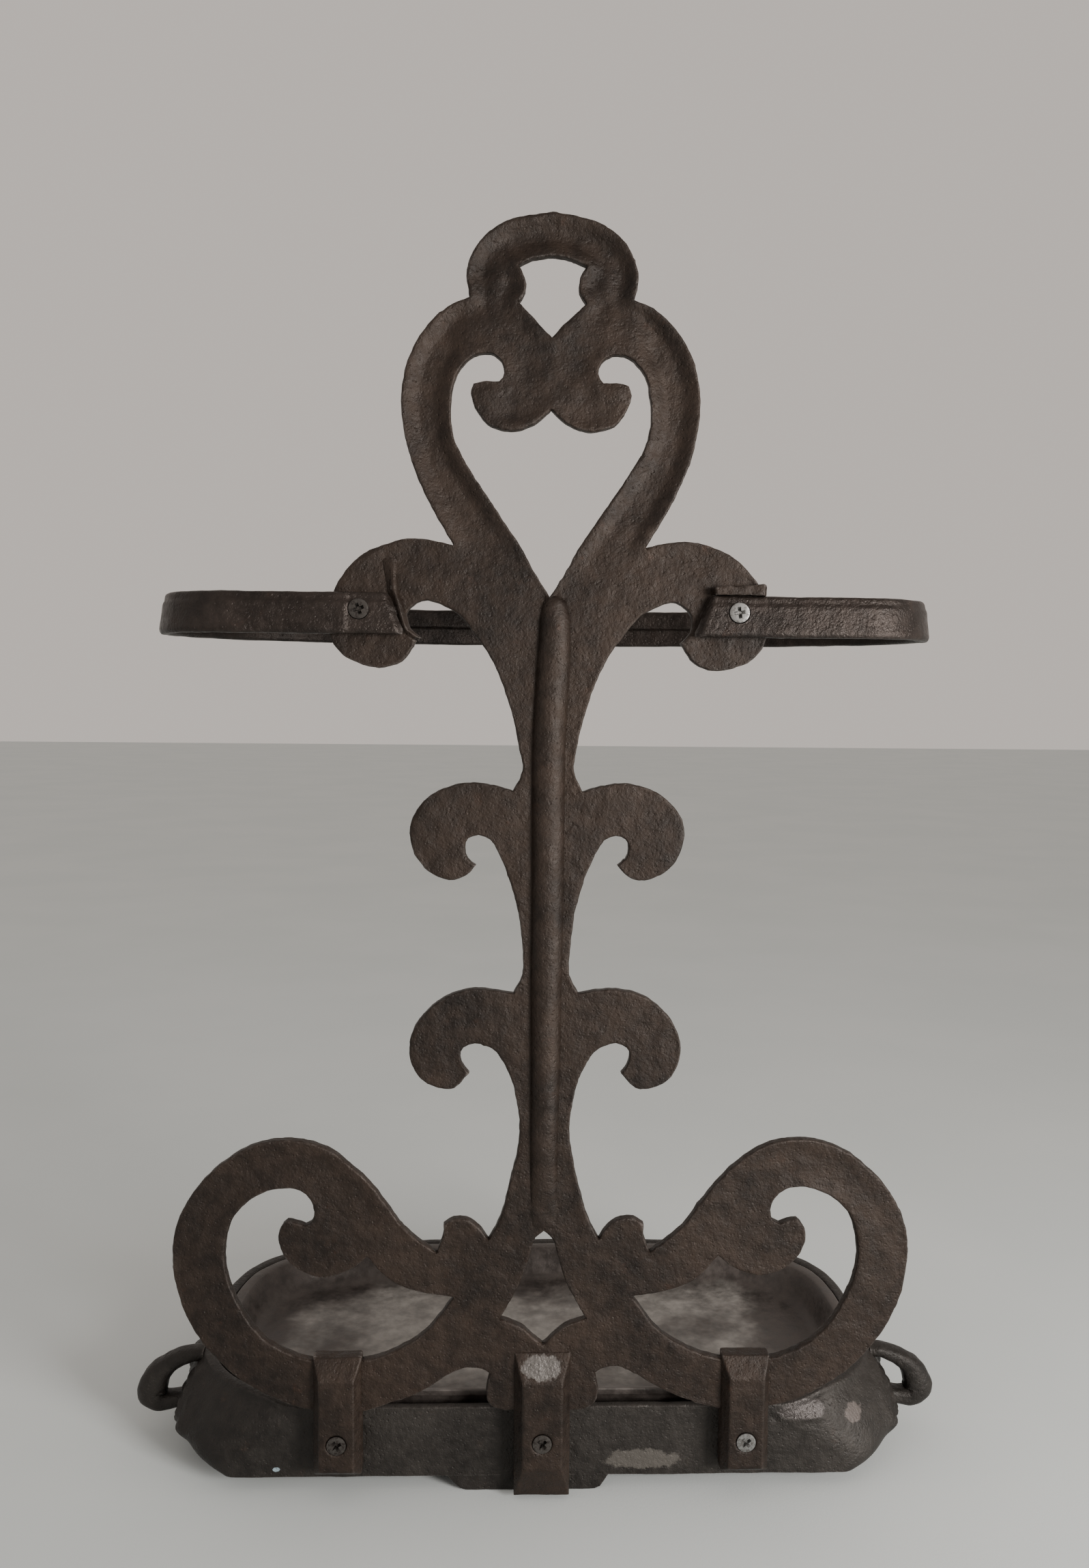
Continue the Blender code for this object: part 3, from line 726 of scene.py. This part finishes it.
def bail(side):
    """A cast handle on one end of the base, bowed out and down from the rim."""
    spine = smooth(BAIL, 0.9)
    layers = []
    for i, (x, z, thick) in enumerate(spine):
        ahead = spine[min(i + 1, len(spine) - 1)] - spine[max(i - 1, 0)]
        across = Vector((-ahead[1], ahead[0])).normalized()
        wide = BAIL_HALF_WIDTH - 1.0 * math.cos(math.pi * i / (len(spine) - 1)) ** 2
        layer = []
        for k in range(36):
            a = 2 * math.pi * k / 36
            u = math.copysign(abs(math.cos(a)) ** 0.8, math.cos(a))
            v = math.copysign(abs(math.sin(a)) ** 0.8, math.sin(a))
            layer.append((side * (x + across.x * thick * u), BAIL_Y + wide * v, z + across.y * thick * u))
        layers.append(layer)
    return sand_cast(loft(layers), 0.7, 0.3, 30.0 + side)


def base_casting(material):
    """The base with its handles and feet."""
    rear_foot = [(x, y, z) for y in (WALL_BACK + 0.1, WALL_FRONT - 0.3)
                 for x, z in ((-49, 10.5), (-46, 6), (-41, 1.4), (-37, 0.1), (27, 0.1), (30, 1.5),
                              (36, 10.5))]
    solids = [base_shell(), bail(-1), bail(1), cast_block(hull(rear_foot), 0.5, 17.0, 0.15, 0.12)]
    for side in (-1, 1):
        pad = [(side * 105 + w * math.cos(a), 150 + w * math.sin(a), z)
               for z, w in ((0.15, 10), (1.2, 11.2), (11, 14)) for a in [math.pi * k / 24 for k in range(48)]]
        solids.append(cast_block(hull(pad), 0.7, 18.0, 0.15, 0.1))
    return piece("base", solids, "stand", ["base_casting"], material)


def drip_tray(material):
    """The lift-out pan with a thin lip, sloping walls and a worn floor."""
    back = 17.5
    top = RIM_TOP - 0.3
    seat = RIM_TOP - 3.3
    rows = [(28.5, -100, 4, 50), (28.5, -50, 24, 30), (28.5, -22, 45, 8), (28.8, -20.4, 46, 6.4),
            (29.6, -18.8, 48, 5.4), (31.5, -17, 50, 4.5), (37, -14.6, 53, 2.6), (seat - 1.5, -11.8, 57, 1),
            (seat - 0.5, -11.2, 58, 0.6), (seat, -10.4, 58.6, 0.4), (seat, -6.6, 60.6, 0.05),
            (seat + 0.3, -6, 61, 0), (top - 0.7, -5.9, 61, 0), (top - 0.2, -6.2, 60.9, 0.1),
            (top, -6.9, 60.5, 0.4), (top, -10.4, 58, 1.9), (top - 0.3, -11.4, 57, 2.5),
            (top - 0.9, -11.9, 56.5, 2.7), (seat, -13.1, 55, 3.2), (41, -15, 53.5, 4.2), (37, -16.8, 52, 5.2),
            (34.5, -18.2, 50.5, 6.1), (32.8, -19.6, 49, 7.3), (31.7, -21.4, 47, 8.9), (31.1, -24, 44, 11.5),
            (31, -28, 40, 15.5), (31, -45, 26, 27), (31, -70, 12, 42), (31, -100, 4, 54)]
    layers = []
    for z, inset, corner, behind in rows:
        layers.append([(x, y, z) for x, y in plan(inset, back + behind, corner)])
    pan = sand_cast(loft(layers), 0.3, 0.06, 26.0)
    return piece("tray", [pan], "tray", ["drip_tray"], material)


# ---------------------------------------------------------------- screws and nuts

def screw(node, x, z, face, tip, turn, material):
    """A countersunk cross-recess machine screw, its head a hair proud of its seat."""
    top = face - 0.25
    profile = [(top, 0), (top, HEAD_RADIUS * 0.55), (top + 0.02, HEAD_RADIUS * 0.85),
               (top + 0.12, HEAD_RADIUS - 0.15), (top + 0.35, HEAD_RADIUS), (face + 0.35, HEAD_RADIUS),
               (face + 2.7, 2.5)]
    pitch = 0.8
    y = face + 3.2
    while y < tip - 1.2:
        profile += [(y, 2.5), (y + pitch * 0.5, 2.12)]
        y += pitch
    profile += [(tip - 0.6, 2.5), (tip, 1.9), (tip, 0)]
    obj = turned(profile, x, z, 48)
    for angle in (turn, turn + math.pi / 2):
        along = Vector((math.cos(angle), 0, math.sin(angle)))
        across = Vector((-math.sin(angle), 0, math.cos(angle)))
        corners = []
        for depth, length, width in ((-1.0, 3.2, 0.95), (1.9, 1.2, 0.5)):
            for s in (-1, 1):
                for t in (-1, 1):
                    corners.append(Vector((x, face + depth, z)) + along * s * length + across * t * width)
        combined(obj, hull(corners), "DIFFERENCE")
    return piece(node + "_look", [obj], "stand", [node], material, 38)


def nut(node, x, z, back, material):
    """A hexagon nut with chamfered corners."""
    flats = 8.0
    thick = 4.0
    layers = []
    for share, cut, outer in ((0, 0.94, True), (0.12, 1.0, True), (0.88, 1.0, True), (1, 0.94, True),
                              (1, 1.15, False), (0.9, 1, False), (0.1, 1, False), (0, 1.15, False)):
        layer = []
        for k in range(72):
            angle = 2 * math.pi * k / 72
            bend = (angle + math.pi / 6) % (math.pi / 3) - math.pi / 6
            hexagon = flats / 2 / math.cos(bend)
            radius = min(hexagon, flats / 2 / math.cos(math.pi / 6) * cut) if outer else 2.8 * cut
            layer.append((x + radius * math.cos(angle), back + thick * share, z + radius * math.sin(angle)))
        layers.append(layer)
    return piece(node + "_look", [loft(layers, ends=False)], "stand", [node], material, 25)


def fasteners(dark, zinc):
    """All the screws and nuts."""
    x, z = RING_SCREW
    screw("ring_screw_left", -x, z, RING_FACE, 14.5, 0.35, dark)
    screw("ring_screw_right", x, z, RING_FACE, 14.5, 0.15, zinc)
    nut("ring_nut_left", -x, z, PLATE + 0.3, dark)
    nut("ring_nut_right", x, z, PLATE + 0.3, dark)
    for side, across, turn, finish, metal in (("left", -LUG_SCREW_X, 0.5, "dark_steel", dark),
                                              ("centre", 0, 0.75, "dark_steel", dark),
                                              ("right", LUG_SCREW_X, 0.7, "zinc_steel", zinc)):
        screw("base_screw_" + side, across, LUG_SCREW_Z, LUG_FACE, 19, turn, metal)
        nut("base_nut_" + side, across, LUG_SCREW_Z, WALL_FRONT + 0.3, dark)


# ---------------------------------------------------------------- materials

def shader_of(name):
    """A new material, its node tree and its Principled shader."""
    material = bpy.data.materials.new(name)
    material.use_nodes = True
    tree = material.node_tree
    return material, tree, tree.nodes["Principled BSDF"]


def add(tree, kind, inputs=(), **settings):
    """A node with its settings made and its inputs set by index or name, from values or sockets."""
    made = tree.nodes.new("ShaderNode" + kind)
    for name, value in settings.items():
        setattr(made, name, value)
    for key, value in dict(inputs).items():
        if isinstance(value, bpy.types.NodeSocket):
            tree.links.new(value, made.inputs[key])
        else:
            made.inputs[key].default_value = value
    return made


def noise_of(tree, coords, size, detail=3.0, rough=0.55):
    """Noise with lumps of about the given size in millimetres."""
    return add(tree, "TexNoise", {"Vector": coords, "Scale": 1000.0 / size, "Detail": detail,
                                  "Roughness": rough}).outputs["Fac"]


def ranged(tree, value, low, high, out_low=0.0, out_high=1.0):
    """Maps low..high smoothly to out_low..out_high."""
    inputs = {"Value": value, "From Min": low, "From Max": high, "To Min": out_low, "To Max": out_high}
    return add(tree, "MapRange", inputs, interpolation_type="SMOOTHSTEP").outputs["Result"]


def maths(tree, operation, a, b=0.0):
    """One arithmetic node."""
    return add(tree, "Math", {0: a, 1: b}, operation=operation).outputs["Value"]


def mixed(tree, share, a, b):
    """A mix of two colours."""
    node = add(tree, "Mix", data_type="RGBA")
    for index, value in ((0, share), (6, a), (7, b)):
        if isinstance(value, bpy.types.NodeSocket):
            tree.links.new(value, node.inputs[index])
        elif index == 0:
            node.inputs[0].default_value = value
        else:
            node.inputs[index].default_value = (*value, 1)
    return node.outputs[2]


def bumped(tree, coords, shader, grain, lump, pits):
    """Fine sand grain, soft lumps and small pits, as depths in millimetres."""
    fine = add(tree, "Bump", {"Height": noise_of(tree, coords, 1.6, 4.0, 0.65), "Distance": grain * MM})
    soft = add(tree, "Bump", {"Height": noise_of(tree, coords, 5.0, 2.0), "Distance": lump * MM,
                              "Normal": fine.outputs["Normal"]})
    cells = add(tree, "TexVoronoi", {"Vector": coords, "Scale": 420.0, "Randomness": 1.0})
    pit = ranged(tree, cells.outputs["Distance"], 0.0, 0.32)
    deep = add(tree, "Bump", {"Height": pit, "Distance": pits * MM, "Normal": soft.outputs["Normal"]})
    tree.links.new(deep.outputs["Normal"], shader.inputs["Normal"])


def spot(tree, coords, centre, radii, ragged=0.35):
    """A ragged patch: 1 inside an ellipsoid given in local millimetres, 0 outside."""
    where = add(tree, "VectorMath", {0: coords, 1: place(*centre)}, operation="SUBTRACT").outputs[0]
    scale = tuple(1 / (r * MM) for r in radii)
    away = add(tree, "VectorMath", {0: where, 1: scale}, operation="MULTIPLY").outputs[0]
    length = add(tree, "VectorMath", {0: away}, operation="LENGTH").outputs["Value"]
    torn = maths(tree, "MULTIPLY", noise_of(tree, coords, 6.0, 5.0, 0.7), ragged * 4)
    return ranged(tree, maths(tree, "ADD", length, torn), 0.9 + ragged * 2, 1.12 + ragged * 2, 1.0, 0.0)


def cast_iron(name, dark, light, rough=(0.42, 0.62), worn=(0.2, 0.18, 0.17), grain=0.5, lump=0.5, pits=0.20,
              metallic=0.35, patches=()):
    """Oiled sand-cast iron, rubbed on its high edges; patches are (centre, radii, colour, roughness)."""
    material, tree, shader = shader_of(name)
    coords = add(tree, "TexCoord").outputs["Object"]
    broad = ranged(tree, noise_of(tree, coords, 55.0, 3.0), 0.3, 0.7)
    mottle = ranged(tree, noise_of(tree, coords, 8.0, 4.0, 0.65), 0.3, 0.72)
    tone = maths(tree, "MULTIPLY", maths(tree, "ADD", broad, mottle), 0.5)
    colour = mixed(tree, tone, dark, light)
    rust = ranged(tree, noise_of(tree, coords, 14.0, 6.0, 0.7), 0.6, 0.74, 0.0, 0.5)
    colour = mixed(tree, rust, colour, tuple(c * f for c, f in zip(light, (1.25, 0.95, 0.8))))
    edge = add(tree, "NewGeometry").outputs["Pointiness"]
    rubbed = ranged(tree, edge, 0.515, 0.60)
    scuffed = maths(tree, "MULTIPLY", rubbed, ranged(tree, noise_of(tree, coords, 3.0, 4.0, 0.7), 0.35, 0.65))
    colour = mixed(tree, maths(tree, "MULTIPLY", scuffed, 0.55), colour, worn)
    roughness = ranged(tree, noise_of(tree, coords, 4.0, 4.0, 0.6), 0.3, 0.7, *rough)
    for centre, radii, patch_colour, patch_rough in patches:
        share = spot(tree, coords, centre, radii)
        colour = mixed(tree, share, colour, patch_colour)
        blend = add(tree, "Mix", {0: share, 2: roughness, 3: patch_rough})
        roughness = blend.outputs[0]
    tree.links.new(colour, shader.inputs["Base Color"])
    tree.links.new(roughness, shader.inputs["Roughness"])
    shader.inputs["Metallic"].default_value = metallic
    shader.inputs["Specular IOR Level"].default_value = 0.32
    bumped(tree, coords, shader, grain, lump, pits)
    return material


def worn_tray(name):
    """The tray's iron: dark walls and lip, and a floor rubbed to a blotchy silver grey."""
    material, tree, shader = shader_of(name)
    coords = add(tree, "TexCoord").outputs["Object"]
    parts = add(tree, "SeparateXYZ", {0: coords}).outputs
    middle = (26 + BASE_MIDDLE + BASE_ROUND - 20) / 2 + BACK
    across = maths(tree, "DIVIDE", parts["X"], 166 * MM)
    deep = maths(tree, "DIVIDE", maths(tree, "SUBTRACT", parts["Y"], middle * MM), 80 * MM)
    far = maths(tree, "ADD", maths(tree, "POWER", maths(tree, "ABSOLUTE", across), 4.0),
                maths(tree, "POWER", maths(tree, "ABSOLUTE", deep), 4.0))
    cloud = maths(tree, "MULTIPLY", noise_of(tree, coords, 42.0, 4.0, 0.6), 2.2)
    share = ranged(tree, maths(tree, "ADD", far, cloud), 1.0, 1.8, 1.0, 0.0)
    low = ranged(tree, parts["Z"], 31.6 * MM, 34 * MM, 1.0, 0.0)
    share = maths(tree, "MULTIPLY", share, low)
    mottle = ranged(tree, noise_of(tree, coords, 9.0, 5.0, 0.65), 0.3, 0.7)
    dark = mixed(tree, mottle, (0.035, 0.029, 0.026), (0.075, 0.063, 0.057))
    pale = mixed(tree, mottle, (0.16, 0.152, 0.14), (0.31, 0.295, 0.275))
    colour = mixed(tree, share, dark, pale)
    edge = ranged(tree, add(tree, "NewGeometry").outputs["Pointiness"], 0.52, 0.6, 0.0, 0.7)
    colour = mixed(tree, edge, colour, (0.36, 0.34, 0.32))
    tree.links.new(colour, shader.inputs["Base Color"])
    tree.links.new(ranged(tree, mottle, 0.0, 1.0, 0.36, 0.55), shader.inputs["Roughness"])
    shader.inputs["Metallic"].default_value = 0.45
    bumped(tree, coords, shader, 0.06, 0.25, 0.05)
    return material


def steel(name, colour, roughness, dirt):
    """Screw steel with dirt in its finish."""
    material, tree, shader = shader_of(name)
    coords = add(tree, "TexCoord").outputs["Object"]
    grime = ranged(tree, noise_of(tree, coords, 1.6, 5.0, 0.7), 0.4, 0.66)
    tree.links.new(mixed(tree, grime, colour, dirt), shader.inputs["Base Color"])
    tree.links.new(ranged(tree, grime, 0.0, 1.0, roughness, roughness + 0.25), shader.inputs["Roughness"])
    shader.inputs["Metallic"].default_value = 0.85
    bumped(tree, coords, shader, 0.03, 0.02, 0.02)
    return material


def pale_floor():
    """A plain pale floor."""
    material, tree, shader = shader_of("pale_floor")
    coords = add(tree, "TexCoord").outputs["Object"]
    tone = ranged(tree, noise_of(tree, coords, 260.0, 3.0), 0.3, 0.7)
    tree.links.new(mixed(tree, tone, FLOOR_DARK, FLOOR_LIGHT), shader.inputs["Base Color"])
    shader.inputs["Roughness"].default_value = 0.7
    grain = add(tree, "Bump", {"Height": noise_of(tree, coords, 1.2, 3.0), "Distance": 0.05 * MM})
    tree.links.new(grain.outputs["Normal"], shader.inputs["Normal"])
    return material


# ---------------------------------------------------------------- the studio

FLOOR_DARK = (0.57, 0.61, 0.61)
FLOOR_LIGHT = (0.60, 0.635, 0.635)
BACKDROP = (0.63, 0.575, 0.53)
# the camera's place, its yaw, downward pitch and roll in degrees, and its lens
CAMERA_SPOT = (-20.1, -605.4, 401.5)
CAMERA_TURN = (1.749, 4.101, 0.524)
LENS = 41.95


def studio():
    """The floor, the pale surroundings and soft lights."""
    floor_mesh = bpy.data.meshes.new("floor")
    reach = 9.0
    floor_mesh.from_pydata([(-reach, -reach, 0), (reach, -reach, 0), (reach, reach, 0), (-reach, reach, 0)],
                           [], [(0, 1, 2, 3)])
    floor_mesh.materials.append(pale_floor())
    floor = bpy.data.objects.new("floor", floor_mesh)
    bpy.context.scene.collection.objects.link(floor)
    world = bpy.data.worlds.new("studio")
    bpy.context.scene.world = world
    world.use_nodes = True
    background = world.node_tree.nodes["Background"]
    background.inputs["Color"].default_value = (*BACKDROP, 1)
    background.inputs["Strength"].default_value = 1.0
    soft_light("key", (0.84, -0.98, 0.44), (0.0, 0.0, 0.25), 0.4, 25.0, (1.0, 0.96, 0.92))
    soft_light("fill", (-1.3, -1.0, 0.9), (0.0, 0.0, 0.3), 1.2, 2.0, (0.95, 0.97, 1.0))


def soft_light(name, spot_at, towards, size, power, colour):
    """A square area light."""
    data = bpy.data.lights.new(name, "AREA")
    data.shape = "SQUARE"
    data.size = size
    data.energy = power
    data.color = colour
    obj = bpy.data.objects.new(name, data)
    obj.location = spot_at
    obj.rotation_euler = (Vector(towards) - Vector(spot_at)).to_track_quat("-Z", "Y").to_euler()
    bpy.context.scene.collection.objects.link(obj)


def camera():
    """A close view of the back of the stand, slightly from the left."""
    yaw, pitch, roll = [math.radians(degrees) for degrees in CAMERA_TURN]
    ahead = Vector((math.sin(yaw) * math.cos(pitch), math.cos(yaw) * math.cos(pitch), -math.sin(pitch)))
    level = Vector((math.cos(yaw), -math.sin(yaw), 0))
    upright = level.cross(ahead)
    right = level * math.cos(roll) + upright * math.sin(roll)
    up = upright * math.cos(roll) - level * math.sin(roll)
    data = bpy.data.cameras.new("camera")
    data.sensor_fit = "HORIZONTAL"
    data.sensor_width = 36.0
    data.lens = LENS
    data.clip_start = 0.02
    obj = bpy.data.objects.new("camera", data)
    turn = Matrix((right, up, -ahead)).transposed().to_4x4()
    obj.matrix_world = Matrix.Translation(place(*CAMERA_SPOT)) @ turn
    bpy.context.scene.collection.objects.link(obj)
    bpy.context.scene.camera = obj


# worn and flaked places on the base: centre, radii, colour and roughness
BASE_PATCHES = (((51, 8, 16), (19, 6, 5), (0.075, 0.068, 0.060), 0.55),
                ((160, 20, 34), (6, 10, 4), (0.085, 0.072, 0.066), 0.5),
                ((132, 12, 40), (11, 10, 5), (0.042, 0.036, 0.034), 0.28),
                ((-133, 8, 12), (1.8, 4, 1.1), (0.25, 0.32, 0.36), 0.6))
# where the frame is rubbed bright: the top of the centre lug
FRAME_PATCHES = (((0, -2, 70), (9, 7, 6), (0.10, 0.092, 0.086), 0.34),)


def build():
    """Makes every piece, the studio and the camera."""
    back_frame(cast_iron("frame_iron", (0.008, 0.0052, 0.0038), (0.032, 0.021, 0.015), patches=FRAME_PATCHES))
    umbrella_ring(cast_iron("ring_iron", (0.009, 0.0065, 0.0053), (0.038, 0.0285, 0.024), rough=(0.28, 0.44),
                            metallic=0.5))
    base_casting(cast_iron("base_iron", (0.011, 0.0092, 0.0080), (0.032, 0.028, 0.0245), rough=(0.38, 0.58),
                           patches=BASE_PATCHES))
    drip_tray(worn_tray("tray_iron"))
    fasteners(steel("dark_steel", (0.085, 0.078, 0.072), 0.36, (0.025, 0.02, 0.018)),
              steel("zinc_steel", (0.24, 0.24, 0.235), 0.34, (0.08, 0.075, 0.07)))
    studio()
    camera()


build()
